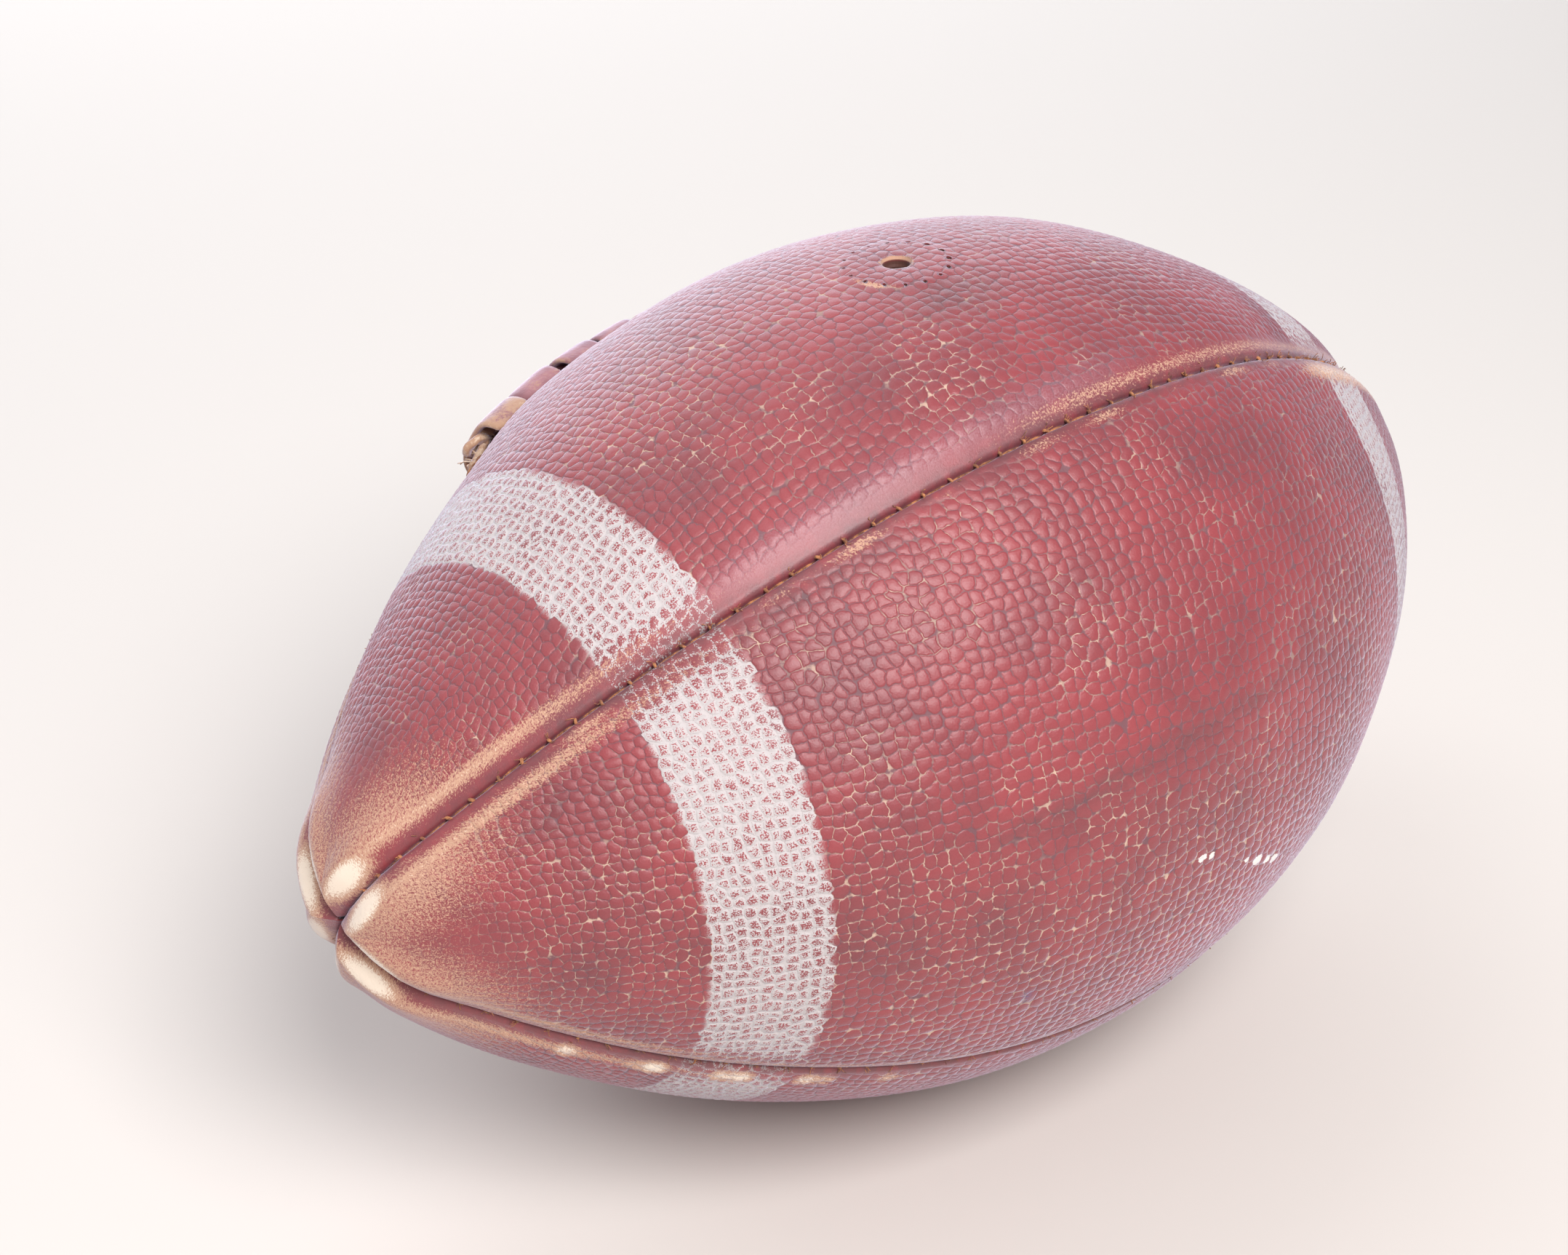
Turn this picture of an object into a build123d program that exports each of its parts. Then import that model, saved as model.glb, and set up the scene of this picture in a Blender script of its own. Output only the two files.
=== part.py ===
from build123d import *
import os
from math import asin, atan2, cos, degrees, hypot, radians, sin, sqrt

# An old laced American football lying on its side, half deflated. Millimetres, +Z up.
# The long axis is X. The origin is on the floor, under the middle of the ball.

# Outside shape: three tangent arcs from the middle to each tip
MID_RADIUS = 85.0  # largest radius, half of the 170 mm diameter
MIDDLE_ARC = 148.0
MIDDLE_ARC_END = 25.0  # degrees from the middle to where the flank arc begins
FLANK_ARC = 224.4
TIP_ARC = 32.2
CONTACT_SINK = 1.5  # how far the soft ball flattens on the floor
AXIS_HEIGHT = MID_RADIUS - CONTACT_SINK
PINHOLE_RADIUS = 1.6  # left where the four panel ends meet

# The lay of the ball: angles run about X, from straight up towards -Y
TOP_FRONT_SEAM = 32.0
LACE_SEAM = TOP_FRONT_SEAM - 90
PANELS = {  # each panel by the seam where it starts
    "top": LACE_SEAM,
    "front": TOP_FRONT_SEAM,
    "bottom": TOP_FRONT_SEAM + 90,
    "rear": TOP_FRONT_SEAM + 180,
}

# Layers, as depths below the outside surface
LEATHER = 2.4
LINING = 3.6
FACING = 6.0
TONGUE_OUTSIDE, TONGUE_INSIDE = 9.2, 11.0
BLADDER_OUTSIDE, BLADDER_INSIDE = 11.5, 12.5

# Seams: turned-in edges and the thread between them
TURN_IN_DEPTH = 8.0
TURN_IN_THICK = 1.8
TURN_IN_ROOT = 0.6  # how far the turned edge runs into the leather
CHANNEL_HALF_WIDTH, CHANNEL_DEPTH = 0.6, 1.9
SEAM_EDGE_ROUND = 0.5
THREAD_RADIUS, THREAD_DEPTH = 0.5, 1.3
THREAD_END_RADIUS = 4.0  # how close to the axis the thread runs at each tip
LACE_THREAD_START = 69.0  # from the middle to where the lace seam is sewn
GAP = 0.1  # room left between soft neighbours

# Lacing
CROSS_LACES = 10
CROSS_STEP = 4.65  # degrees along the middle arc
HOLE_OFFSET = 9.0
HOLE_RADIUS, LACE_LEG_RADIUS = 2.1, 1.9
LACE_WIDTH = 7.0
SPINE_BASE, SPINE_TOP = 0.3, 2.4
SPINE_END = 24.0
CROSS_BASE, CROSS_SHOULDER, CROSS_TOP = 0.1, 1.2, 4.3
UNDER_TOP, UNDER_BASE, UNDER_WIDTH = 7.1, 8.8, 3.8
END_KNOT_RADIUS, END_KNOT_TURN = 2.3, 0.5
SLIT_HALF_WIDTH, SLIT_HALF_LENGTH = 0.9, 58.0
LACE_TURN_IN_START = 61.5  # the slit's turned-in edges begin here, from the middle
FACING_END, FACING_WIDTH = 24.4, 17.0
TONGUE_END, TONGUE_WIDTH = 24.8, 18.0
BAR_TACKS = (63.0, 65.0, 67.0)
BAR_RADIUS, BAR_DEPTH, BAR_OVERHANG = 0.5, 5.5, 0.5

# Valve
VALVE_X, VALVE_ANGLE = -3.0, -2.4
VALVE_HOLE_RADIUS = 2.75
PATCH_RADIUS, PATCH_DEPTH, PATCH_HOLE_RADIUS = 15.0, 5.6, 5.0
STITCH_RING_RADIUS, RING_STITCHES = 10.0, 16
RING_THREAD_RADIUS, RING_LEG_RADIUS, RING_HOLE_RADIUS = 0.5, 0.4, 0.5
RING_TOP, RING_LOOP_DEPTH = 1.0, 6.9
FLANGE_RADIUS, FLANGE_DEPTH = 12.0, 10.0
STEM_RADIUS, STEM_TOP, STEM_BASE = 4.0, 2.7, 22.0
NEEDLE_RADIUS = 1.0
CORE_TOP, CORE_RADIUS, CORE_LENGTH = 14.0, 2.5, 6.0
CORE_SLIT = (3.0, 0.3)

os.makedirs("parts", exist_ok=True)

middle_centre = Vector(0, MID_RADIUS - MIDDLE_ARC)
arc_end = Vector(sin(radians(MIDDLE_ARC_END)), cos(radians(MIDDLE_ARC_END)))
flank_centre = middle_centre + arc_end * (MIDDLE_ARC - FLANK_ARC)
tip_centre = Vector(flank_centre.X + sqrt((FLANK_ARC - TIP_ARC) ** 2 - flank_centre.Y**2), 0)
flank_end = (tip_centre - flank_centre).normalized()
HALF_LENGTH = tip_centre.X + TIP_ARC
ball_axis = Axis((0, 0, AXIS_HEIGHT), (1, 0, 0))


def seam_plane(angle):
    """The half plane of a seam: local x along the ball, local y outwards."""
    turn = radians(angle)
    return Plane(origin=(0, 0, AXIS_HEIGHT), x_dir=(1, 0, 0), z_dir=(0, -cos(turn), -sin(turn)))


def surface_plane(angle, along, depth=0.0):
    """A plane across the ball's normal at a point of the middle arc, depth below the surface."""
    turn = radians(along)
    seam = seam_plane(angle)
    outward = seam.x_dir * sin(turn) + seam.y_dir * cos(turn)
    forward = seam.x_dir * cos(turn) - seam.y_dir * sin(turn)
    centre = seam.origin + seam.y_dir * middle_centre.Y
    return Plane(origin=centre + outward * (MIDDLE_ARC - depth), x_dir=forward, z_dir=outward)


def radius_at(x, depth=0.0):
    """The ball's radius at x on the flank arc, depth below the surface."""
    return flank_centre.Y + sqrt((FLANK_ARC - depth) ** 2 - (x - flank_centre.X) ** 2)


def outline_points(depth):
    """Where the arcs of the half outline meet, and their middles, from the middle arc to the tip."""
    join = middle_centre + arc_end * (MIDDLE_ARC - depth)
    flank_middle = flank_centre + (arc_end + flank_end).normalized() * (FLANK_ARC - depth)
    tip_join = flank_centre + flank_end * (FLANK_ARC - depth)
    tip_middle = tip_centre + (flank_end + Vector(1, 0)).normalized() * (TIP_ARC - depth)
    tip = Vector(HALF_LENGTH - depth, 0)
    return join, flank_middle, tip_join, tip_middle, tip


def mirrored(point):
    """The same place towards the ball's other tip."""
    return Vector(-point.X, point.Y)


def outline(depth):
    """One closed half section of the ball, depth below the surface, in a seam plane's own x and y."""
    join, flank_middle, tip_join, tip_middle, tip = outline_points(depth)
    with BuildLine() as line:
        ThreePointArc(mirrored(join), (0, MID_RADIUS - depth), join)
        ThreePointArc(join, flank_middle, tip_join)
        ThreePointArc(tip_join, tip_middle, tip)
        Line(tip, mirrored(tip))
        ThreePointArc(mirrored(tip), mirrored(tip_middle), mirrored(tip_join))
        ThreePointArc(mirrored(tip_join), mirrored(flank_middle), mirrored(join))
    return line.edges()


def solid_ball(depth):
    """The whole ball's shape at one depth, flat where it rests on the floor."""
    half_section = outline(depth)
    with BuildPart() as ball:
        with BuildSketch(seam_plane(0)):
            make_face(half_section)
        revolve(axis=ball_axis)
        split(bisect_by=Plane.XY.offset(depth), keep=Keep.TOP)
    return ball


def band_section(angle, half_angle, outside, inside):
    """The section of a strip that follows the middle arc, between two depths."""
    turn = radians(half_angle)
    edge = Vector(sin(turn), cos(turn))
    high, low = middle_centre + edge * (MIDDLE_ARC - outside), middle_centre + edge * (MIDDLE_ARC - inside)
    with BuildSketch(seam_plane(angle)) as section:
        with BuildLine():
            ThreePointArc(mirrored(high), (0, MID_RADIUS - outside), high)
            Line(high, low)
            ThreePointArc(low, (0, MID_RADIUS - inside), mirrored(low))
            Line(mirrored(low), mirrored(high))
        make_face()
    return section


def quarter_layer(angle, outside, core):
    """A quarter of one layer of the ball, from one seam to the next, around a smaller solid ball."""
    half_section = outline(outside)
    with BuildPart() as quarter:
        with BuildSketch(seam_plane(angle)):
            make_face(half_section)
            Rectangle(2 * HALF_LENGTH, 2 * PINHOLE_RADIUS, mode=Mode.SUBTRACT)
        revolve(axis=ball_axis, revolution_arc=90)
        split(bisect_by=Plane.XY.offset(outside), keep=Keep.TOP)
        add(core.part, mode=Mode.SUBTRACT)
    return quarter


def blade(angle, half_width, depth):
    """Everything within half_width of a seam's plane, down to a depth."""
    skin_line, floor_line = outline(-1), outline(depth)
    with BuildPart() as cutter:
        with BuildSketch(seam_plane(angle)):
            make_face(skin_line)
            make_face(floor_line, mode=Mode.SUBTRACT)
        extrude(amount=half_width, both=True)
    return cutter


def turned_edge(angle, side):
    """A panel's edge turned in along a seam, standing on the inside of the leather."""
    root_line, edge_line = outline(LEATHER - TURN_IN_ROOT), outline(TURN_IN_DEPTH)
    with BuildPart() as strip:
        with BuildSketch(seam_plane(angle)):
            make_face(root_line)
            make_face(edge_line, mode=Mode.SUBTRACT)
            Rectangle(2 * HALF_LENGTH, 2 * PINHOLE_RADIUS, mode=Mode.SUBTRACT)
            if (angle - LACE_SEAM) % 360 == 0:
                Rectangle(2 * LACE_TURN_IN_START, 4 * MID_RADIUS, mode=Mode.SUBTRACT)
        extrude(amount=side * TURN_IN_THICK)
    return strip


def skin_distance(point):
    """How far a point is from the ball's outside surface."""
    x, radius = abs(point.X), hypot(point.Y, point.Z - AXIS_HEIGHT)
    if x <= MIDDLE_ARC * arc_end.X:
        return abs(hypot(x, radius - middle_centre.Y) - MIDDLE_ARC)
    if x <= (flank_centre + flank_end * FLANK_ARC).X:
        return abs(hypot(x - flank_centre.X, radius - flank_centre.Y) - FLANK_ARC)
    return abs(hypot(x - tip_centre.X, radius) - TIP_ARC)


def seam_shoulders(panel):
    """The long outside edges of a panel, beside its two seam channels."""

    def beside_seam(edge):
        middle = edge @ 0.5
        return edge.length > 20 and middle.Z > 0.1 and skin_distance(middle) < 0.02

    return panel.edges().filter_by(beside_seam)


def lace_pegs(radius, high, low):
    """Round pegs at every lace hole, on both sides of the lace seam."""
    with BuildPart() as pegs:
        for number in range(CROSS_LACES):
            along = (number - (CROSS_LACES - 1) / 2) * CROSS_STEP
            station = surface_plane(LACE_SEAM, along)
            with Locations(*[station.offset(low) * Pos(0, side * HOLE_OFFSET, 0) for side in (-1, 1)]):
                Cylinder(radius, high - low, align=(Align.CENTER, Align.CENTER, Align.MIN))
    return pegs


def bar_tack_pegs(half_length):
    """Short thread bars across the turned-in edges at both ends of the lace slit."""
    seam = seam_plane(LACE_SEAM)
    with BuildPart() as pegs:
        for x in BAR_TACKS:
            for end in (-1, 1):
                centre = seam * Pos(end * x, radius_at(x, BAR_DEPTH), 0)
                with Locations(centre):
                    Cylinder(BAR_RADIUS, 2 * half_length)
    return pegs


def valve_plane(depth):
    """Across the valve's axis, a depth below the surface beside it."""
    turn = radians(VALVE_ANGLE)
    outward = Vector(0, -sin(turn), cos(turn))
    radius = middle_centre.Y + sqrt(MIDDLE_ARC**2 - VALVE_X**2) - depth
    return Plane(origin=Vector(VALVE_X, 0, AXIS_HEIGHT) + outward * radius, x_dir=(1, 0, 0), z_dir=outward)


def valve_peg(radius, high, low):
    """A round peg on the valve's axis, between two depths."""
    with BuildPart() as peg:
        with BuildSketch(valve_plane(low)):
            Circle(radius)
        extrude(amount=low - high)
    return peg


def ring_pegs(radius, high, low):
    """A ring of pegs round the valve, between two depths."""
    with BuildPart() as pegs:
        with BuildSketch(valve_plane(low)):
            with PolarLocations(STITCH_RING_RADIUS, RING_STITCHES):
                Circle(radius)
        extrude(amount=low - high)
    return pegs


def strip_beside_lacing(first_angle, arc, half_angle, outside, inside):
    """A strip under the lacing that follows the ball, turned through an arc about its axis."""
    section = band_section(first_angle, half_angle, outside, inside)
    with BuildPart() as strip:
        add(section.sketch)
        revolve(axis=ball_axis, revolution_arc=arc)
    return strip


def write(piece, name):
    """Labels a finished piece and writes its STEP file."""
    piece.part.label = name
    export_step(piece.part, f"parts/{name}.step")


leather_core, lining_core = solid_ball(LEATHER), solid_ball(LINING)
lace_holes = lace_pegs(HOLE_RADIUS, 3, -FACING - 3)
bar_holes = bar_tack_pegs(2 * TURN_IN_THICK)
ring_holes = ring_pegs(RING_HOLE_RADIUS, -1, PATCH_DEPTH + 2)
slit_line = outline(-1)
with BuildPart() as slit:
    with BuildSketch(seam_plane(LACE_SEAM)):
        make_face(slit_line)
        Rectangle(2 * SLIT_HALF_LENGTH, 4 * MID_RADIUS, mode=Mode.INTERSECT)
    extrude(amount=SLIT_HALF_WIDTH, both=True)

# Leather panels: each runs from its own seam to the next, with its edges turned in
for name, angle in PANELS.items():
    skin = quarter_layer(angle, 0, leather_core)
    edges = [turned_edge(angle, 1), turned_edge(angle + 90, -1)]
    channels = [blade(seam, CHANNEL_HALF_WIDTH, CHANNEL_DEPTH) for seam in (angle, angle + 90)]
    with BuildPart() as panel:
        add(skin.part)
        add([edge.part for edge in edges])
        add([channel.part for channel in channels], mode=Mode.SUBTRACT)
        fillet(seam_shoulders(panel), SEAM_EDGE_ROUND)
        if name in ("top", "rear"):
            add([slit.part, lace_holes.part, bar_holes.part], mode=Mode.SUBTRACT)
        if name == "top":
            add([valve_peg(VALVE_HOLE_RADIUS, -2, LEATHER + 2).part, ring_holes.part], mode=Mode.SUBTRACT)
    write(panel, f"panel_{name}")

# Linings: one cloth lining inside each panel, between its turned-in edges
for name, angle in PANELS.items():
    cloth = quarter_layer(angle, LEATHER, lining_core)
    margins = [blade(seam, TURN_IN_THICK + GAP, 2 * LINING) for seam in (angle, angle + 90)]
    with BuildPart() as lining:
        add(cloth.part)
        add([margin.part for margin in margins], mode=Mode.SUBTRACT)
        if name in ("top", "rear"):
            add(lace_holes.part, mode=Mode.SUBTRACT)
        if name == "top":
            add([valve_peg(PATCH_HOLE_RADIUS, 0, LINING + 2).part, ring_holes.part], mode=Mode.SUBTRACT)
    write(lining, f"lining_{name}")


# Seam threads: one line of thread in each seam channel, in two lengths on the lace seam
join, flank_middle, tip_join, tip_middle, tip = outline_points(THREAD_DEPTH)
thread_turn = asin(THREAD_END_RADIUS / (TIP_ARC - THREAD_DEPTH))
join_turn = atan2(flank_end.Y, flank_end.X)
thread_end = tip_centre + Vector(cos(thread_turn), sin(thread_turn)) * (TIP_ARC - THREAD_DEPTH)
end_turn = (thread_turn + join_turn) / 2
end_middle = tip_centre + Vector(cos(end_turn), sin(end_turn)) * (TIP_ARC - THREAD_DEPTH)
thread_start = Vector(LACE_THREAD_START, radius_at(LACE_THREAD_START, THREAD_DEPTH))
halfway = (LACE_THREAD_START + tip_join.X) / 2
start_middle = Vector(halfway, radius_at(halfway, THREAD_DEPTH))


def seam_thread(angle, arcs):
    """A round thread along a chain of arcs, given as triples of points in the seam's plane."""
    with BuildLine() as route:
        for first, middle, last in arcs:
            ThreePointArc(first, middle, last)
    path = seam_plane(angle).from_local_coords(route.wire())
    with BuildPart() as thread:
        with BuildSketch(Plane(origin=path @ 0, z_dir=path % 0)):
            Circle(THREAD_RADIUS)
        sweep(path=path)
    return thread


far_arcs = [(join, flank_middle, tip_join), (tip_join, end_middle, thread_end)]
near_arcs = [tuple(mirrored(point) for point in reversed(arc)) for arc in reversed(far_arcs)]
whole_seam = [*near_arcs, (mirrored(join), Vector(0, MID_RADIUS - THREAD_DEPTH), join), *far_arcs]
lace_far = [(thread_start, start_middle, tip_join), far_arcs[1]]
lace_near = [tuple(mirrored(point) for point in reversed(arc)) for arc in reversed(lace_far)]
threads = {
    "top_front": (PANELS["front"], whole_seam),
    "front_bottom": (PANELS["bottom"], whole_seam),
    "bottom_rear": (PANELS["rear"], whole_seam),
    "lace_seam_near": (LACE_SEAM, lace_near),
    "lace_seam_far": (LACE_SEAM, lace_far),
}
for name, (angle, arcs) in threads.items():
    write(seam_thread(angle, arcs), f"seam_thread_{name}")

# Bar tacks: three thread bars through both turned-in edges at each end of the lace slit
all_bars = bar_tack_pegs(TURN_IN_THICK + BAR_OVERHANG)
for name, keep in (("near", Keep.BOTTOM), ("far", Keep.TOP)):
    with BuildPart() as bars:
        add(all_bars.part)
        split(bisect_by=Plane.YZ, keep=keep)
    write(bars, f"bar_tack_{name}")

# Lace facings: a strip of leather behind the lace holes of each lacing panel
facing_arc = degrees(FACING_WIDTH / (MID_RADIUS - FACING))
for name, first_angle in (("top", LACE_SEAM), ("rear", LACE_SEAM - facing_arc)):
    strip = strip_beside_lacing(first_angle, facing_arc, FACING_END, LINING, FACING)
    with BuildPart() as facing:
        add(strip.part)
        add([slit.part, lace_holes.part], mode=Mode.SUBTRACT)
    write(facing, f"lace_facing_{name}")

# Lace tongue: a loose strip that keeps the lace off the bladder
tongue_arc = degrees(TONGUE_WIDTH / (MID_RADIUS - TONGUE_OUTSIDE))
tongue = strip_beside_lacing(
    LACE_SEAM - tongue_arc, 2 * tongue_arc, TONGUE_END, TONGUE_OUTSIDE, TONGUE_INSIDE
)
write(tongue, "lace_tongue")

# Lace: a flat spine along the slit, with cross laces over it that go down through the holes
cross_outline = [
    (-HOLE_OFFSET - LACE_LEG_RADIUS, CROSS_BASE),
    (-HOLE_OFFSET - LACE_LEG_RADIUS, CROSS_SHOULDER),
    (-LACE_WIDTH, CROSS_TOP),
    (LACE_WIDTH, CROSS_TOP),
    (HOLE_OFFSET + LACE_LEG_RADIUS, CROSS_SHOULDER),
    (HOLE_OFFSET + LACE_LEG_RADIUS, CROSS_BASE),
    (HOLE_OFFSET - LACE_LEG_RADIUS, CROSS_BASE),
    (LACE_WIDTH / 2 + GAP, SPINE_TOP - GAP),
    (-LACE_WIDTH / 2 - GAP, SPINE_TOP - GAP),
    (-HOLE_OFFSET + LACE_LEG_RADIUS, CROSS_BASE),
]
under_half = (MIDDLE_ARC - UNDER_BASE) * sin(radians(CROSS_STEP / 2))
under_turn = degrees(atan2(HOLE_OFFSET, under_half))
spine_arc = degrees(LACE_WIDTH / 2 / MID_RADIUS)
spine = strip_beside_lacing(LACE_SEAM - spine_arc, 2 * spine_arc, SPINE_END, -SPINE_TOP, -SPINE_BASE)
legs = lace_pegs(LACE_LEG_RADIUS, CROSS_SHOULDER, -UNDER_BASE)
first_station = -(CROSS_LACES - 1) / 2 * CROSS_STEP
with BuildPart() as lace:
    add([spine.part, legs.part])
    for number in range(CROSS_LACES):
        station = surface_plane(LACE_SEAM, first_station + number * CROSS_STEP)
        with BuildSketch(Plane(origin=station.origin, x_dir=station.y_dir, z_dir=station.x_dir)):
            Polygon(*cross_outline, align=None)
        extrude(amount=LACE_WIDTH / 2, both=True)
    for number in range(CROSS_LACES - 1):
        between = surface_plane(LACE_SEAM, first_station + (number + 0.5) * CROSS_STEP, UNDER_BASE)
        with BuildSketch(between):
            Rectangle(2 * hypot(under_half, HOLE_OFFSET), UNDER_WIDTH, rotation=under_turn)
        extrude(amount=UNDER_BASE - UNDER_TOP)
    with Locations(surface_plane(LACE_SEAM, -SPINE_END - END_KNOT_TURN, -SPINE_BASE - END_KNOT_RADIUS)):
        Sphere(END_KNOT_RADIUS)
write(lace, "lace")

# Bladder: a slack rubber bag with the valve's hole in it
bladder_core = solid_ball(BLADDER_INSIDE)
bladder_skin = solid_ball(BLADDER_OUTSIDE)
with BuildPart() as bladder:
    add(bladder_skin.part)
    add([bladder_core.part, valve_peg(STEM_RADIUS, 0, STEM_BASE).part], mode=Mode.SUBTRACT)
write(bladder, "bladder")

# Valve: a rubber stem with a flange bonded to the bladder, and a slit core plug inside it
flange_disc = valve_peg(FLANGE_RADIUS, 0, STEM_BASE)
with BuildPart() as valve_body:
    add(solid_ball(FLANGE_DEPTH).part)
    add(bladder_skin.part, mode=Mode.SUBTRACT)
    add(flange_disc.part, mode=Mode.INTERSECT)
    add(valve_peg(STEM_RADIUS, STEM_TOP, STEM_BASE).part)
    add(valve_peg(NEEDLE_RADIUS, STEM_TOP - 1, STEM_BASE + 1).part, mode=Mode.SUBTRACT)
    add(valve_peg(CORE_RADIUS, CORE_TOP, CORE_TOP + CORE_LENGTH).part, mode=Mode.SUBTRACT)
write(valve_body, "valve_body")

with BuildPart() as valve_core:
    add(valve_peg(CORE_RADIUS, CORE_TOP, CORE_TOP + CORE_LENGTH).part)
    with BuildSketch(valve_plane(CORE_TOP)):
        Rectangle(*CORE_SLIT)
    extrude(amount=-CORE_LENGTH, mode=Mode.SUBTRACT)
write(valve_core, "valve_core")

# Valve patch: a round of leather behind the valve hole, sewn on by a ring of stitches
patch_disc = valve_peg(PATCH_RADIUS, 0, STEM_BASE)
with BuildPart() as patch:
    add(lining_core.part)
    add(solid_ball(PATCH_DEPTH).part, mode=Mode.SUBTRACT)
    add(patch_disc.part, mode=Mode.INTERSECT)
    add([valve_peg(PATCH_HOLE_RADIUS, 0, STEM_BASE).part, ring_holes.part], mode=Mode.SUBTRACT)
write(patch, "valve_patch")

with BuildPart() as stitching:
    add(ring_pegs(RING_LEG_RADIUS, RING_TOP, RING_LOOP_DEPTH).part)
    with Locations(valve_plane(RING_LOOP_DEPTH)):
        Torus(STITCH_RING_RADIUS, RING_THREAD_RADIUS)
write(stitching, "valve_patch_stitching")
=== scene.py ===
"""An old laced American football, half deflated, lying on a plain pale floor."""

import math

import bpy
import numpy as np
from mathutils import Matrix, Vector


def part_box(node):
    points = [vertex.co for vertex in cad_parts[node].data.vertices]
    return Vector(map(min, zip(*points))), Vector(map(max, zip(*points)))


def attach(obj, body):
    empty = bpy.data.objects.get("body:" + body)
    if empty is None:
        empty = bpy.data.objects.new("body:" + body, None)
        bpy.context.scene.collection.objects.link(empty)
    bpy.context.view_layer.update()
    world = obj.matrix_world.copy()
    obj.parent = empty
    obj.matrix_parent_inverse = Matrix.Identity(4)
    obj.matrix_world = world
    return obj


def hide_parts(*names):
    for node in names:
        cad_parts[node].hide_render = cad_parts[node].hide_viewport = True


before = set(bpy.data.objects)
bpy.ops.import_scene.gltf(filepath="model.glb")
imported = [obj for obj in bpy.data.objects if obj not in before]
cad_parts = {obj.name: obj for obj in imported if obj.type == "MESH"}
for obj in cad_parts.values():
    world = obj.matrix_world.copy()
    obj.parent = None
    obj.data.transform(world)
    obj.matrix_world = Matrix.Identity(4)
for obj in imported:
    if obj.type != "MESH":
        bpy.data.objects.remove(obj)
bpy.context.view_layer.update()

BODY = "root"
MM = 0.001

# ---------------------------------------------------------------- the ball's shape, in millimetres
MID_RADIUS = 85.0
MIDDLE_ARC, MIDDLE_LEAN = 148.0, math.radians(25.0)
FLANK_ARC = 224.4
TIP_ARC = 32.2
AXIS_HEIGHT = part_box("panel_top")[1][2] / MM - MID_RADIUS
TOP_FRONT_SEAM = 32.0
LACE_SEAM = TOP_FRONT_SEAM - 90
PANELS = {
    "top": LACE_SEAM,
    "front": TOP_FRONT_SEAM,
    "bottom": TOP_FRONT_SEAM + 90,
    "rear": TOP_FRONT_SEAM + 180,
}
LEATHER = 2.4
PINHOLE = 0.9  # left open where the four panel ends meet
STITCH_STEP = 5.6
CROSS_LACES, CROSS_STEP = 10, 4.65  # the step is in degrees along the middle arc
LACE_STATIONS = [
    MIDDLE_ARC * math.radians(CROSS_STEP * (k - (CROSS_LACES - 1) / 2)) for k in range(CROSS_LACES)
]
LACE_OFFSET, LACE_HOLE = 9.0, 2.1
LACE_THREAD_START = 69.0
SLIT_END, SLIT_HALF = 59.0, 0.8
TACKS = (63.0, 65.0, 67.0)
TACK_RADIUS = 0.5
VALVE_ALONG, VALVE_TURN = -3.0, -2.4
VALVE_HOLE, VALVE_RING = 2.7, 10.0
RING_HOLES = 16
HOLE_DEPTH, RING_HOLE_DEPTH = 4.0, 1.5
STRIPE_EDGES = (82.0, 103.5)  # distances along the outline from the middle

# ---------------------------------------------------------------- the outline: three arcs each side
middle_y = MID_RADIUS - MIDDLE_ARC
flank_x = (MIDDLE_ARC - FLANK_ARC) * math.sin(MIDDLE_LEAN)
flank_y = middle_y + (MIDDLE_ARC - FLANK_ARC) * math.cos(MIDDLE_LEAN)
tip_x = flank_x + math.sqrt((FLANK_ARC - TIP_ARC) ** 2 - flank_y**2)
TIP_LEAN = math.atan2(tip_x - flank_x, -flank_y)
MIDDLE_END = MIDDLE_ARC * MIDDLE_LEAN
FLANK_END = MIDDLE_END + FLANK_ARC * (TIP_LEAN - MIDDLE_LEAN)
OUTLINE_END = FLANK_END + TIP_ARC * (math.pi / 2 - TIP_LEAN)


def meridian(along):
    """Place along the axis, radius and the normal's lean, for distances along the outline from the middle."""
    a = np.abs(along)
    flank_lean = MIDDLE_LEAN + (a - MIDDLE_END) / FLANK_ARC
    tip_lean = TIP_LEAN + (a - FLANK_END) / TIP_ARC
    lean = np.where(a < MIDDLE_END, a / MIDDLE_ARC, np.where(a < FLANK_END, flank_lean, tip_lean))
    arc = np.where(a < MIDDLE_END, MIDDLE_ARC, np.where(a < FLANK_END, FLANK_ARC, TIP_ARC))
    centre_x = np.where(a < MIDDLE_END, 0.0, np.where(a < FLANK_END, flank_x, tip_x))
    centre_y = np.where(a < MIDDLE_END, middle_y, np.where(a < FLANK_END, flank_y, 0.0))
    x, radius = centre_x + arc * np.sin(lean), centre_y + arc * np.cos(lean)
    return np.sign(along) * x, radius, np.sign(along) * lean


def on_ball(along, turn, depth):
    """Points below the ball's outline: turn is the angle about the axis in radians, up to the front."""
    x, radius, lean = meridian(along)
    x = x - depth * np.sin(lean)
    radius = radius - depth * np.cos(lean)
    return np.stack([x, -radius * np.sin(turn), AXIS_HEIGHT + radius * np.cos(turn)], axis=-1)


def grain_density(along):
    """How much smaller the pebbles are than at the middle: they shrink towards the tips."""
    return 1 + 0.38 * rise(np.abs(along), 35, 165)


def grain_along(along):
    """Distance along the outline, counted in the grain's own millimetres."""
    steps = np.linspace(0, OUTLINE_END, 800)
    total = np.concatenate([[0], np.cumsum(np.diff(steps) * grain_density((steps[1:] + steps[:-1]) / 2))])
    return np.sign(along) * np.interp(np.abs(along), steps, total)


def bell(distance, width):
    """A soft bump: 1 at no distance, about a third at one width."""
    return np.exp(-((distance / width) ** 2))


def rise(value, low, high):
    """Smoothly from 0 at low to 1 at high."""
    t = np.clip((value - low) / (high - low), 0, 1)
    return t * t * (3 - 2 * t)


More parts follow.
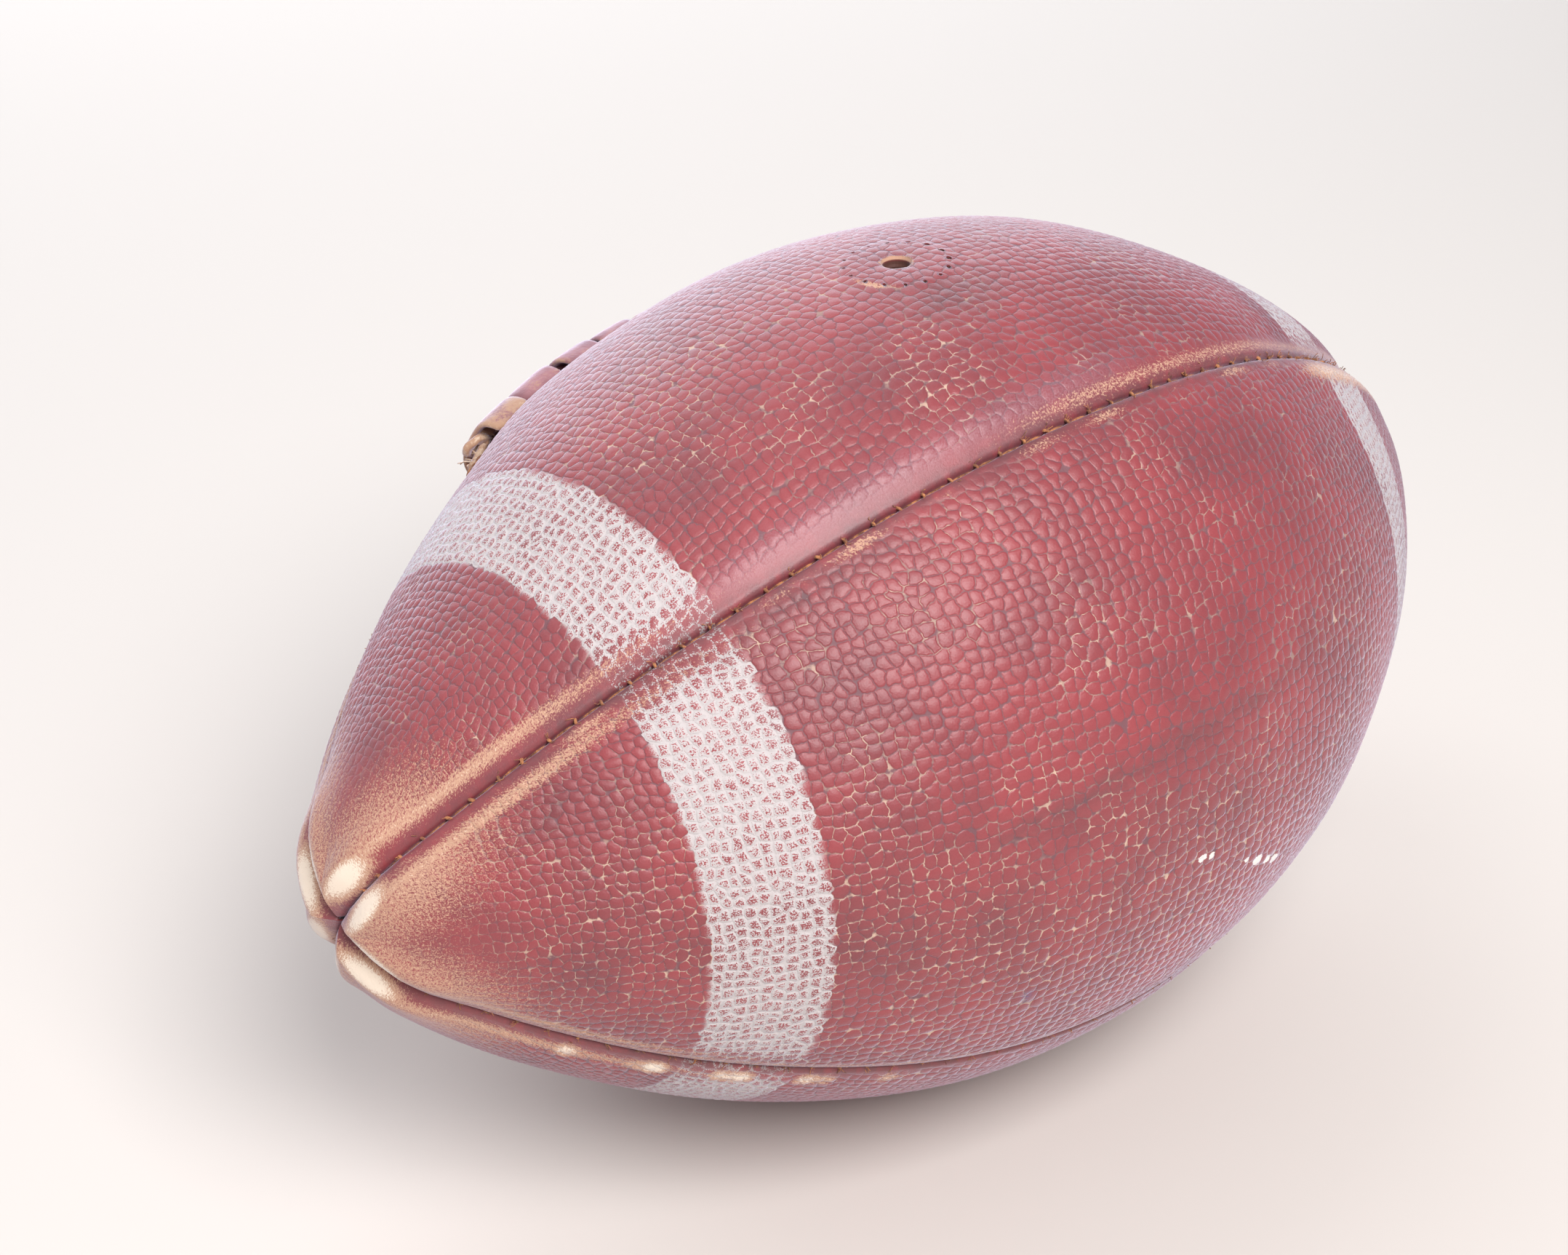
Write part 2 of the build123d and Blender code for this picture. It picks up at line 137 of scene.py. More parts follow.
# ---------------------------------------------------------------- node trees
class Graph:
    """Writes a node tree in short lines: each call adds one node and gives back its output."""

    def __init__(self, tree):
        self.tree = tree

    def add(self, kind, inputs=None, **settings):
        """A node whose inputs are linked to sockets or set to plain values."""
        node = self.tree.nodes.new(kind)
        for name, value in settings.items():
            setattr(node, name, value)
        for name, value in (inputs or {}).items():
            socket = node.inputs[name]
            if isinstance(value, bpy.types.NodeSocket):
                self.tree.links.new(value, socket)
            else:
                socket.default_value = value
        return node

    def math(self, operation, *values, clamp=False):
        node = self.add("ShaderNodeMath", dict(enumerate(values)), operation=operation, use_clamp=clamp)
        return node.outputs[0]

    def vector(self, operation, *values):
        return self.add("ShaderNodeVectorMath", dict(enumerate(values)), operation=operation).outputs[0]

    def scale(self, vector, factor):
        return self.vector("MULTIPLY", vector, (factor, factor, factor))

    def rise(self, value, low, high):
        """Smoothly from 0 at low to 1 at high."""
        inputs = {"Value": value, "From Min": low, "From Max": high}
        node = self.add("ShaderNodeMapRange", inputs, interpolation_type="SMOOTHSTEP")
        return node.outputs[0]

    def mix(self, factor, first, second):
        """A colour between two others."""
        node = self.add("ShaderNodeMix", data_type="RGBA")
        for socket, value in ((0, factor), (6, first), (7, second)):
            if isinstance(value, bpy.types.NodeSocket):
                self.tree.links.new(value, node.inputs[socket])
            else:
                node.inputs[socket].default_value = value if socket == 0 else (*value, 1.0)
        return node.outputs[2]

    def noise(self, vector, scale, detail=2.0, roughness=0.5, output=0):
        inputs = {"Vector": vector, "Scale": scale, "Detail": detail, "Roughness": roughness}
        return self.add("ShaderNodeTexNoise", inputs).outputs[output]

    def named(self, name):
        """A number stored on the mesh."""
        return self.add("ShaderNodeAttribute", attribute_name=name).outputs["Fac"]


PEBBLE = 2.5  # millimetres across one pebble of the grain
PEBBLE_JITTER = 0.55  # 0 would set the pebbles in a square grid
PEBBLE_REACH = 0.70  # how far a pebble reaches from its middle before its corners are rounded off
SLOW_BEND, QUICK_BEND = 1.8, 0.95  # how far the rows of pebbles wander


def pebble_cells(graph, hide):
    """The grain: distance to the nearest valley in pebbles, the pebble's own middle and a colour for it."""
    half = (0.5, 0.5, 0.5)
    slow = graph.vector("SUBTRACT", graph.noise(hide, 0.16, 1.0, output=1), half)
    quick = graph.vector("SUBTRACT", graph.noise(hide, 0.75, 2.0, output=1), half)
    spot = graph.vector("ADD", hide, graph.scale(slow, SLOW_BEND))
    spot = graph.vector("ADD", spot, graph.scale(quick, QUICK_BEND))
    spot = graph.scale(spot, 1 / PEBBLE)
    inputs = {"Vector": spot, "Scale": 1.0, "Randomness": PEBBLE_JITTER}
    edge = graph.add("ShaderNodeTexVoronoi", inputs, voronoi_dimensions="2D", feature="DISTANCE_TO_EDGE")
    cell = graph.add("ShaderNodeTexVoronoi", inputs, voronoi_dimensions="2D", feature="F1")
    corner = graph.math("MULTIPLY", graph.math("SUBTRACT", PEBBLE_REACH, cell.outputs["Distance"]), 0.9)
    round_edge = graph.math("SMOOTH_MIN", edge.outputs["Distance"], corner, 0.10)
    return round_edge, cell.outputs["Position"], cell.outputs["Color"]


def new_material(name, **sockets):
    """A Principled material, with its plain values set on the shader's own sockets."""
    material = bpy.data.materials.new(name)
    material.use_nodes = True
    shader = material.node_tree.nodes["Principled BSDF"]
    for socket, value in sockets.items():
        shader.inputs[socket.replace("_", " ")].default_value = value
    return material, Graph(material.node_tree), shader


RED, RED_DARK = (0.315, 0.046, 0.054), (0.155, 0.035, 0.043)
VALLEY_SHADE, DUST = (0.14, 0.065, 0.078), (0.62, 0.42, 0.31)
SUEDE, CREAM, RAW_AND_SHADE = (0.58, 0.34, 0.225), (0.90, 0.76, 0.62), (0.11, 0.045, 0.035)
PAINT, CHIP = (0.54, 0.49, 0.485), (0.84, 0.80, 0.74)
PAINTED_SHEEN, STAIN_AND_SHADE, INK = (0.40, 0.27, 0.33), (0.085, 0.045, 0.050), (0.12, 0.10, 0.22)
STRIPE_IN, STRIPE_OUT = grain_along(STRIPE_EDGES[0]), grain_along(STRIPE_EDGES[1])
STRIPE_BLUR = 0.4


def leather_material():
    """Worn red football leather: pebbles, valleys with painted shade and dust, suede wear, painted end stripes,
    a painted sheen, and painted shade in the holes and a dent.
    """
    sheen = {"Sheen_Weight": 0.72, "Sheen_Roughness": 0.32, "Sheen_Tint": (0.78, 0.80, 1.0, 1.0)}
    material, g, shader = new_material("panel leather", Specular_IOR_Level=0.72, **sheen)
    hide = g.add("ShaderNodeAttribute", attribute_name="hide").outputs["Vector"]
    edge, cell, tone = pebble_cells(g, hide)
    relief, wear = g.named("lines"), g.named("wear")
    raw_and_shade, stain_and_shade, fleck, ink = g.named("raw_and_shade"), g.named("stain_and_shade"), g.named("fleck"), g.named("ink")
    patches = g.noise(hide, 0.035, 3.0, 0.55)
    speckle = g.noise(hide, 2.6, 3.0, 0.65)

    # red, a little different from pebble to pebble and from patch to patch
    tint = g.add("ShaderNodeSeparateColor", {"Color": tone}).outputs[0]
    shade = g.math("ADD", g.math("MULTIPLY", patches, 1.3), g.math("MULTIPLY", speckle, 0.45))
    shade = g.math("ADD", shade, g.math("MULTIPLY", tint, 0.16))
    colour = g.mix(g.rise(shade, 0.30, 1.30), RED_DARK, RED)

    # valleys: painted shade where clean, tan where dust has settled
    thick = g.math("MULTIPLY", g.noise(hide, 0.7, 2.0), 0.13)
    line = g.math("SUBTRACT", 1.0, g.rise(edge, 0.0, thick))
    dusty = g.rise(g.math("ADD", g.noise(hide, 0.05, 3.0, 0.6), g.named("dust")), 0.43, 0.66)
    broken = g.rise(g.noise(hide, 0.55, 3.0), 0.42, 0.62)
    line = g.math("MULTIPLY", line, relief)
    colour = g.mix(g.math("MULTIPLY", line, 0.80), colour, VALLEY_SHADE)
    dust = g.math("MULTIPLY", g.math("MULTIPLY", line, dusty), broken)
    colour = g.mix(g.math("MULTIPLY", dust, 0.92), colour, DUST)

    # painted stripes: whole pebbles, full in the valleys and speckled on the tops
    middle = g.add("ShaderNodeSeparateXYZ", {"Vector": cell}).outputs[0]
    here = g.add("ShaderNodeSeparateXYZ", {"Vector": hide}).outputs[0]
    place = g.math("ADD", g.math("MULTIPLY", middle, 0.6 * PEBBLE), g.math("MULTIPLY", here, 0.4))
    place = g.math("ABSOLUTE", place)
    past_near_edge = g.rise(place, STRIPE_IN - STRIPE_BLUR, STRIPE_IN + STRIPE_BLUR)
    past_far_edge = g.rise(place, STRIPE_OUT - STRIPE_BLUR, STRIPE_OUT + STRIPE_BLUR)
    inside = g.math("MULTIPLY", past_near_edge, g.math("SUBTRACT", 1.0, past_far_edge))
    hollow = g.math("SUBTRACT", 1.0, g.rise(edge, 0.05, 0.26))
    cover = g.math("MULTIPLY", g.noise(hide, 2.9, 2.0, 0.65), 1.45)
    cover = g.math("ADD", cover, g.math("MULTIPLY", g.noise(hide, 0.5, 2.0), 0.40))
    cover = g.math("ADD", cover, g.math("MULTIPLY", hollow, 0.26))
    cover = g.math("ADD", cover, g.math("MULTIPLY", patches, 0.30))
    smear = g.math("SUBTRACT", 1.0, g.rise(g.named("edge"), 2.5, 9.0))
    cover = g.math("SUBTRACT", cover, g.math("MULTIPLY", smear, 0.26))
    paint = g.math("MULTIPLY", inside, g.rise(cover, 1.05, 1.15))
    colour = g.mix(paint, colour, PAINT)

    # a painted lilac sheen along the ridge beside the upper seam, then stains with painted shade, flecks and
    # worn suede
    colour = g.mix(g.math("MULTIPLY", g.named("painted_sheen"), g.rise(speckle, 0.25, 0.70)), colour, PAINTED_SHEEN)
    # stains, the darkening beside the seams and the painted shade of a dent share this mask
    stain_and_shade = g.math("MULTIPLY", stain_and_shade, g.rise(g.noise(hide, 0.35, 3.0, 0.6), 0.25, 0.62))
    colour = g.mix(stain_and_shade, colour, STAIN_AND_SHADE)
    colour = g.mix(g.math("MULTIPLY", ink, g.rise(speckle, 0.35, 0.6)), colour, INK)
    coarse = g.math("SUBTRACT", g.noise(hide, 1.3, 3.0, 0.65), 0.5)
    worn = g.math("ADD", wear, g.math("MULTIPLY", g.math("SUBTRACT", speckle, 0.5), 0.9))
    worn = g.math("ADD", worn, g.math("MULTIPLY", coarse, 0.9))
    suede = g.rise(worn, 0.36, 0.68)
    colour = g.mix(g.math("MULTIPLY", suede, 0.92), colour, SUEDE)
    colour = g.mix(g.rise(worn, 0.74, 1.15), colour, CREAM)
    chip = g.rise(g.math("ADD", fleck, g.math("MULTIPLY", speckle, 0.6)), 0.80, 0.90)
    colour = g.mix(chip, colour, CHIP)
    # raw leather on the turned-in edges, and painted shade inside the holes
    colour = g.mix(raw_and_shade, colour, RAW_AND_SHADE)
    g.tree.links.new(colour, shader.inputs["Base Color"])

    rough = g.math("ADD", 0.37, g.math("MULTIPLY", line, 0.25))
    rough = g.math("ADD", rough, g.math("MULTIPLY", g.math("MAXIMUM", suede, paint), 0.45))
    rough = g.math("ADD", rough, g.math("MULTIPLY", speckle, 0.10), clamp=True)
    g.tree.links.new(rough, shader.inputs["Roughness"])

    # fine relief: the pebble's shoulder and the leather's own grain
    dome = g.math("MULTIPLY", g.rise(edge, -0.02, 0.15), g.math("MULTIPLY", relief, 0.11))
    grain = g.math("MULTIPLY", g.noise(hide, 2.6, 5.0, 0.7), 0.075)
    height = g.math("ADD", dome, grain)
    bump = g.add("ShaderNodeBump", {"Height": height, "Strength": 0.9, "Distance": MM})
    g.tree.links.new(bump.outputs[0], shader.inputs["Normal"])
    return material


# ---------------------------------------------------------------- leather panels
ROWS = 720
ACROSS = 235
PEBBLE_HEIGHT = 0.20
SHOULDER = 1.5
COLUMN_BUNCHING = 1.15  # radians: draws the columns of a panel together towards its seams
WALL_DEPTHS = (6.0, 4.2, 2.8)
INNER_COLUMNS = 14
GRAIN_SHIFT = 400  # sets each panel on its own stretch of grain
CHIPS = (  # flecks of white paint on the front panel: along, off the crown, size
    (-6.0, 22.2, 1.0),
    (-3.4, 22.9, 0.8),
    (8.5, 30.0, 0.7),
    (12.5, 32.3, 1.3),
    (16.5, 34.4, 1.1),
    (19.5, 36.0, 1.2),
)


def seam_gap(along, laced):
    """Half the gap between two panels: pinched at each stitch, open between them and open under the lacing."""
    sewn = 0.03 + 0.12 * np.abs(np.sin(math.pi * along / STITCH_STEP)) ** 0.7
    if not laced:
        return sewn
    return sewn + (SLIT_HALF - sewn) * (1 - rise(np.abs(along), SLIT_END - 2, SLIT_END + 2))


def valley(edge, along):
    """How far the leather dips towards a seam, wider and deeper towards the tips."""
    tipward = rise(np.abs(along), 95, 160)
    inward = np.clip(SHOULDER - edge, 0, SHOULDER)
    shoulder = SHOULDER - np.sqrt(SHOULDER**2 - inward**2)
    return shoulder + (0.45 + 1.5 * tipward) * bell(edge, 5.5)


def lace_swell(along, from_seam):
    """The stiff facings hold the leather up on both sides of the lacing."""
    return 1.3 * bell(from_seam, 15.0) * (1 - rise(np.abs(along), 50, 74))


def panel_shape(name, along, off_crown, first_edge, last_edge):
    """How far a panel's surface stands above the plain ball."""
    edge = np.minimum(first_edge, last_edge)
    height = -valley(edge, along)

    # the knobs at the tips, and a slow unevenness that differs from panel to panel
    height += 1.6 * rise(np.abs(along), 140, 158) * bell(edge - 4.6, 3.6)
    order = list(PANELS).index(name)
    waves = np.sin(along / 12.0 + 1.7 * order) * np.sin(off_crown / 10.5 + 2.3 * order)
    height += 0.22 * waves * rise(edge, 3, 14)

    # the lacing's swell, the ridge beside the upper seam, the flat far shoulder, the dent and the valve
    if name in ("top", "rear"):
        height += lace_swell(along, first_edge if name == "top" else last_edge)
    if name == "top":
        ridge = rise(along, -88, -62) * (1 - rise(along, -5, 25))
        height += ridge * (0.65 * bell(last_edge - 6.2, 3.2) - 0.35 * bell(last_edge, 4.0))
        height -= 0.8 * bell(last_edge - 3.0, 6.0) * rise(along, 52, 80)
        height -= 0.9 * bell(along - 86, 18.0) * bell(off_crown + 4, 22.0)
        spread = valve_distance(along, off_crown)
        height += 0.35 * (1 - rise(spread, 9.0, 12.5)) - 0.55 * bell(spread, 3.6)
    if name == "front":
        height += 0.8 * bell(first_edge - 4.5, 3.5) * rise(along, 55, 82)
    return height


def valve_distance(along, off_crown):
    """Distance over the top panel from the middle of the valve hole."""
    return np.hypot(along - VALVE_ALONG, valve_off(off_crown))


def valve_off(off_crown):
    """Distance across the top panel from the valve hole, towards the front."""
    return off_crown - math.radians(VALVE_TURN - LACE_SEAM - 45) * MID_RADIUS


def panel_wear(name, along, off_crown, first_edge, last_edge):
    """Where the red finish has rubbed off to suede: beside the seams, over the tips and at the valve."""
    a = np.abs(along)
    edge = np.minimum(first_edge, last_edge)
    band = bell(edge - 4.2, 2.3)
    wear = band * (0.16 + 0.52 * rise(a, 60, 135))
    wear = np.maximum(wear, 0.60 * rise(a, 106, 150) * (1 - rise(edge, 4, 32)) * rise(edge, 1.5, 3.5))
    wear = np.maximum(wear, 1.45 * bell(a - 162, 7.5) * bell(edge - 3.4, 3.0))
    if name == "top":
        spread = valve_distance(along, off_crown)
        arc = bell(valve_off(off_crown) - 3.5, 5.0) * rise(VALVE_ALONG - along, 2, 6)
        wear = np.maximum(wear, 0.74 * bell(spread - VALVE_RING - 0.5, 1.0) * arc)
        wear = np.maximum(wear, 0.62 * bell(spread - 2.8, 0.7))
        wear = np.maximum(wear, 0.50 * bell(last_edge - 3.0, 2.2) * rise(along, -45, 0))
    if name == "front":
        wear = np.maximum(wear, 0.86 * bell(first_edge - 4.2, 3.3) * rise(along, 56, 84))
        scuffs = 0.5 + 0.3 * np.sin(0.33 * along + 0.6) + 0.3 * np.sin(0.12 * along + 2.2)
        wear = np.maximum(wear, 0.54 * scuffs * bell(first_edge - 2.2, 1.6))
        wear = np.maximum(wear, 0.50 * bell(last_edge - 2.2, 1.6))
    if name == "bottom":
        patchy = 0.55 + 0.45 * np.sin(0.40 * along + 0.8) + 0.15 * np.sin(1.1 * along)
        wear = np.maximum(wear, 1.2 * patchy * bell(first_edge - 4.4, 2.7) * bell(along + 100, 50))
    return wear


def panel_section(along, radius, gaps, swing, height):
    """A panel's closed section at each row, as turns and depths: skin, wall, inner face and other wall."""
    half = math.pi / 4
    level = {-1: -height[:, :1], 1: -height[:, -1:]}
    wall, deeper = {}, {}
    for side, gap in gaps.items():
        wall[side] = side * half * np.clip(1 - (gap + 0.05) / (radius * half), 0.2, 1)
        deeper[side] = [
            np.maximum(depth + 0 * along, level[side] + 0.3 + 0.1 * n) for n, depth in enumerate(WALL_DEPTHS)
        ]
    inner_half = half * np.clip(1 - 2.0 / (radius * half), 0.05, 1)
    turns = [wall[-1]] * 3 + [swing] + [wall[1]] * 3 + [inner_half]
    depths = deeper[-1][::-1] + [-height] + deeper[1] + [deeper[1][-1] + 0.05]
    for share in np.linspace(1, -1, INNER_COLUMNS):
        outer_level = level[1 if share > 0 else -1]
        turns.append(inner_half * share)
        depths.append(np.maximum(LEATHER - 0.05, outer_level * abs(share) ** 8 + 0.9))
    turns.append(-inner_half)
    depths.append(deeper[-1][-1] + 0.05)
    return np.concatenate(turns, axis=1), np.concatenate(depths, axis=1)


def make_panel(name, start, material):
    """One leather panel as a closed mesh: a skin with pebbles, rounded shoulders and turned-in edges."""
    end = OUTLINE_END - PINHOLE
    along = np.linspace(-end, end, ROWS)[:, None]
    radius = meridian(along)[1]
    half = math.pi / 4
    first_gap, last_gap = seam_gap(along, name == "top"), seam_gap(along, name == "rear")
    across = np.sin(np.linspace(-1, 1, ACROSS) * COLUMN_BUNCHING)[None, :] / math.sin(COLUMN_BUNCHING)
    gap = np.where(across < 0, first_gap, last_gap)
    swing = across * half * np.clip(1 - gap / (radius * half), 0.2, 1)
    first_edge = np.clip(radius * (half + swing) - first_gap, 0, None)
    last_edge = np.clip(radius * (half - swing) - last_gap, 0, None)
    height = panel_shape(name, along, radius * swing, first_edge, last_edge)

    turns, depths = panel_section(along, radius, {-1: first_gap, 1: last_gap}, swing, height)
    skin = np.zeros(turns.shape[1])
    skin[len(WALL_DEPTHS) : len(WALL_DEPTHS) + ACROSS] = 1
    along, radius = along + 0 * turns, radius + 0 * turns
    points = on_ball(along, math.radians(start + 45) + turns, depths)
    lowest = np.where(skin > 0, 0.05, LEATHER - 0.2)
    points[..., 2] = np.maximum(points[..., 2], lowest)

    rows, ring = turns.shape
    corner = np.arange(rows * ring).reshape(rows, ring)
    nxt = np.roll(corner, -1, axis=1)
    quads = np.stack([corner[:-1], nxt[:-1], nxt[1:], corner[1:]], axis=-1).reshape(-1, 4)
    faces = quads.tolist() + [corner[0][::-1].tolist(), corner[-1].tolist()]
    mesh = bpy.data.meshes.new(f"leather_{name}")
    mesh.from_pydata((points.reshape(-1, 3) * MM).tolist(), [], faces)
    store_panel(mesh, name, along, radius, turns, points, skin)
    piece = new_piece(f"leather_{name}", mesh, material, "leather_panel", f"panel_{name}")
    raise_pebbles(piece)
    piece.data.shade_smooth()
    return piece


def store_panel(mesh, name, along, radius, turns, points, skin):
    """Keeps on a panel's mesh where its grain, wear and marks are."""
    off_crown = radius * turns
    first_edge, last_edge = radius * math.pi / 4 + off_crown, radius * math.pi / 4 - off_crown
    pressed = rise(points[..., 2], 0.3, 1.2)
    low, high = (3.0, 7.5) if name == "top" else (0.8, 4.0)
    relief = rise(first_edge, 0.8, 4.5) * rise(last_edge, low, high)
    relief = relief * (1 - 0.8 * rise(np.abs(along), 126, 150)) * skin
    sideways = off_crown * grain_density(along) + GRAIN_SHIFT * list(PANELS).index(name)
    store(mesh, "hide", np.stack([grain_along(along), sideways, 0 * turns], axis=-1))
    store(mesh, "relief", relief * pressed)
    store(mesh, "lines", relief)
    store(mesh, "wear", panel_wear(name, along, off_crown, first_edge, last_edge) * skin)
    store(mesh, "raw_and_shade", 1 - skin + 0 * turns)
    store(mesh, "edge", np.minimum(first_edge, last_edge))
    for label, values in panel_marks(name, along, off_crown).items():
        store(mesh, label, values)


def store(mesh, label, values):
    """Keeps a number or a vector for each point of a mesh, for its material to read."""
    vector = values.ndim == 3
    layer = mesh.attributes.new(label, "FLOAT_VECTOR" if vector else "FLOAT", "POINT")
    layer.data.foreach_set("vector" if vector else "value", values.ravel().astype(np.float32))


def new_piece(name, mesh, material, slot, *nodes):
    """Puts a mesh in the scene as a piece of the ball that stands for CAD nodes."""
    piece = bpy.data.objects.new(name, mesh)
    bpy.context.scene.collection.objects.link(piece)
    mesh.materials.append(material)
    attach(piece, BODY)
    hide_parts(*nodes)
    return piece


def panel_marks(name, along, off_crown):
    """Soft stains, painted shade of a dent, darkening beside the seams, chips of paint, an ink smudge, dust and
    a painted sheen, by their places on the panel.
    """
    marks = {label: 0 * along for label in ("stain_and_shade", "fleck", "ink", "dust", "painted_sheen")}
    half_width = meridian(along)[1] * math.pi / 4
    from_seam = np.abs(half_width - np.abs(off_crown))
    # darker close beside every seam, and on the front a wider darker band beside the upper seam
    seam_darkening = 0.55 * bell(from_seam - 0.8, 1.7) * (1 - 0.5 * rise(np.abs(along), 100, 150))
    if name == "front":
        streak = off_crown + 0.09 * (along + 54) - 0.8 * np.sin(along / 9)
        beside = bell(half_width + off_crown - 4.0, 3.6) * bell(along + 66, 20)
        seam_darkening = np.maximum(seam_darkening, 0.40 * beside)
        marks["stain_and_shade"] = 0.42 * bell(streak, 2.3) * rise(along, -60, -44) * (1 - rise(along, 0, 55))
        for x, y, size in CHIPS:
            spot = bell(np.hypot(along - x, (off_crown - y) * 1.3), 1.5 * size)
            marks["fleck"] = np.maximum(marks["fleck"], spot)
        marks["ink"] = bell(np.hypot((along + 42.5) * 1.5, off_crown - 39.5), 1.5)
        marks["dust"] = 0.18 * rise(off_crown - 0.25 * along, -5, 30) - 0.02
    if name == "top":
        patch = bell(along + 61, 13) * bell(off_crown - 9, 15)
        patch = patch + bell(np.hypot(along + 19, off_crown - 41), 10)
        marks["dust"] = 0.30 * np.minimum(patch, 1) - 0.02
        # painted shade of a shallow dent beside the valve
        marks["stain_and_shade"] = 0.55 * bell(along + 3, 12) * bell(valve_off(off_crown) - 16, 6)
        # a painted lilac sheen along the crest of the ridge beside the upper seam
        painted_sheen = bell(half_width - off_crown - 5.5, 3.2) * rise(along, -95, -70) * (1 - rise(along, -5, 30))
        marks["painted_sheen"] = 0.34 * painted_sheen
    if name == "rear":
        marks["stain_and_shade"] = 0.35 * bell(along - 30, 16) * bell(off_crown + 8, 9)
    marks["stain_and_shade"] = np.maximum(marks["stain_and_shade"], seam_darkening)
    return marks


def raise_pebbles(piece):
    """Lifts each pebble of the grain, with the same cells that the material draws."""
    group = bpy.data.node_groups.new("raise pebbles", "GeometryNodeTree")
    group.interface.new_socket("Geometry", in_out="INPUT", socket_type="NodeSocketGeometry")
    group.interface.new_socket("Geometry", in_out="OUTPUT", socket_type="NodeSocketGeometry")
    g = Graph(group)
    start, finish = g.add("NodeGroupInput"), g.add("NodeGroupOutput")
    hide = g.add("GeometryNodeInputNamedAttribute", {"Name": "hide"}, data_type="FLOAT_VECTOR").outputs[0]
    relief = g.add("GeometryNodeInputNamedAttribute", {"Name": "relief"}, data_type="FLOAT").outputs[0]
    edge, _, _ = pebble_cells(g, hide)
    height = g.math("MULTIPLY", g.rise(edge, -0.02, 0.34), relief)
    height = g.math("MULTIPLY", height, PEBBLE_HEIGHT * MM)
    normal = g.add("GeometryNodeInputNormal").outputs[0]
    offset = g.add("ShaderNodeVectorMath", {0: normal, "Scale": height}, operation="SCALE").outputs[0]
    moved = g.add("GeometryNodeSetPosition", {"Geometry": start.outputs[0], "Offset": offset})
    group.links.new(moved.outputs[0], finish.inputs[0])
    modifier = piece.modifiers.new("pebbles", "NODES")
    modifier.node_group = group
    apply_modifiers(piece)
    bpy.data.node_groups.remove(group)


def apply_modifiers(piece):
    """Makes a piece's modifiers part of its mesh."""
    graph = bpy.context.evaluated_depsgraph_get()
    seen = piece.evaluated_get(graph)
    mesh = bpy.data.meshes.new_from_object(seen, preserve_all_data_layers=True, depsgraph=graph)
    piece.modifiers.clear()
    old, piece.data = piece.data, mesh
    bpy.data.meshes.remove(old)
    mesh.name = piece.name


leather = leather_material()
panels = {name: make_panel(name, start, leather) for name, start in PANELS.items()}


# ---------------------------------------------------------------- thread, lace and the holes they pass
chance = np.random.default_rng(7)
BARE_TIP = 9  # millimetres at each tip without stitches
LACE_LEG = (-5.5, -4.2, -3.0, -1.8, -0.8)  # heights of a cross lace where it goes down through its hole
LACE_LEG_WIDTH = 3.3
KNOT = (  # the knot at the lace's near end: along, across, height
    (0.5, -1.6, 1.4),
    (-1.2, -1.9, 3.0),
    (-3.0, 0.0, 3.6),
    (-1.4, 1.9, 3.0),
    (0.4, 1.2, 1.6),
    (-1.6, -0.4, 1.2),
    (-3.8, -1.0, 0.9),
    (-5.6, -0.4, 0.7),
)
FRAYED_ENDS = 16
TACK_ROUTE = (  # a bar tack's thread: across, height
    (-4.0, -2.5),
    (-3.9, -0.2),
    (-2.0, 0.42),
    (0.0, 0.35),
    (2.0, 0.45),
    (3.9, -0.2),
    (4.0, -2.5),
)


def unit(vectors):
    """The same directions with a length of one."""
    return vectors / np.maximum(np.linalg.norm(vectors, axis=-1, keepdims=True), 1e-9)


def smooth_path(points, per_span=6):
    """A smooth line through a few points (Catmull-Rom)."""
    points = np.asarray(points, float)
    ends = np.vstack([2 * points[0] - points[1], points, 2 * points[-1] - points[-2]])
    out = []
    for k in range(1, len(ends) - 2):
        p0, p1, p2, p3 = ends[k - 1 : k + 3]
        for t in np.arange(per_span) / per_span:
            bend = (2 * p0 - 5 * p1 + 4 * p2 - p3) * t**2 + (3 * p1 - p0 - 3 * p2 + p3) * t**3
            out.append(0.5 * (2 * p1 + (p2 - p0) * t + bend))
    return np.array(out + [points[-1]])


